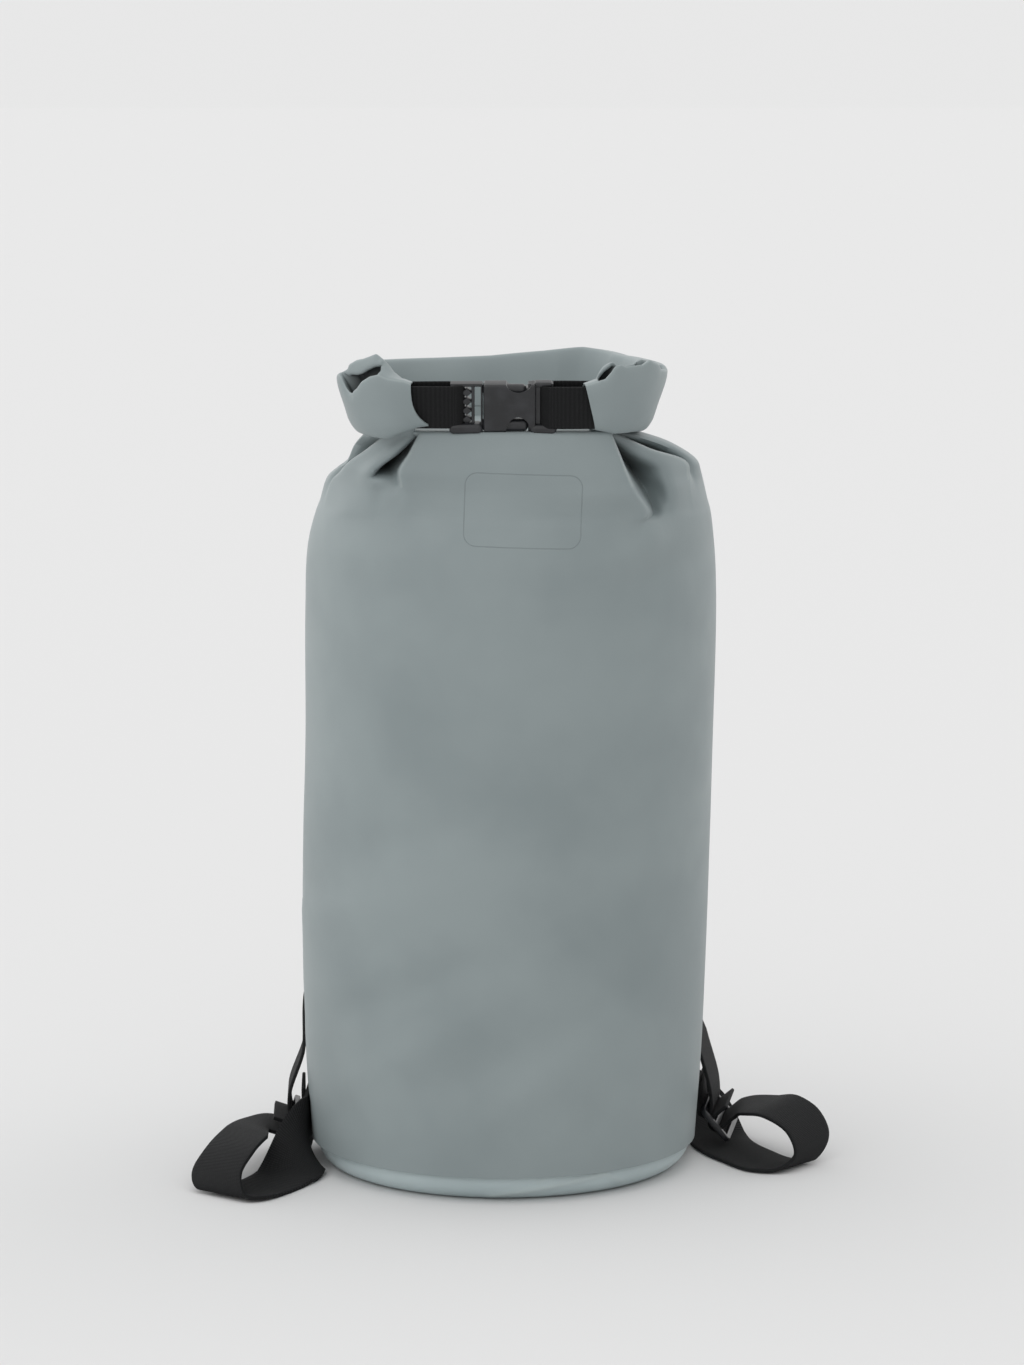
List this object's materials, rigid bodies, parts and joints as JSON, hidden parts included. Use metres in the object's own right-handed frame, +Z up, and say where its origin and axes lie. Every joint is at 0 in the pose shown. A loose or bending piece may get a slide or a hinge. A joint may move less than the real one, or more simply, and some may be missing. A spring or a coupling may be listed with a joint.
{
  "type": "dry bag backpack",
  "caption": "Roll-top tarpaulin dry bag with a round base, a clipped ring-shaped roll closure and two webbing shoulder straps that hold it on the back.",
  "frame": {"origin": "centre of the flat underside of the base, where the bag stands on the floor", "axes": "+X to the right as the buckle side is seen, +Y from the buckle side towards the straps, +Z up the bag"},
  "size_m": [0.3722, 0.2634, 0.4779],
  "materials": {
    "coated_cloth": "satin",
    "black_webbing": "matte",
    "black_plastic": "satin"
  },
  "bodies": {
    "root": {"bag_body": "coated_cloth", "bag_base": "coated_cloth", "roll_closure": "coated_cloth", "back_patch": "coated_cloth", "buckle_female": "black_plastic", "buckle_male": "black_plastic", "closure_webbing_left": "black_webbing", "closure_webbing_right": "black_webbing", "shoulder_strap_right": "black_webbing", "lower_strap_right": "black_webbing", "base_patch_right": "coated_cloth", "strap_adjuster_right": "black_plastic", "shoulder_strap_left": "black_webbing", "lower_strap_left": "black_webbing", "base_patch_left": "coated_cloth", "strap_adjuster_left": "black_plastic"}
  },
  "joints": []
}
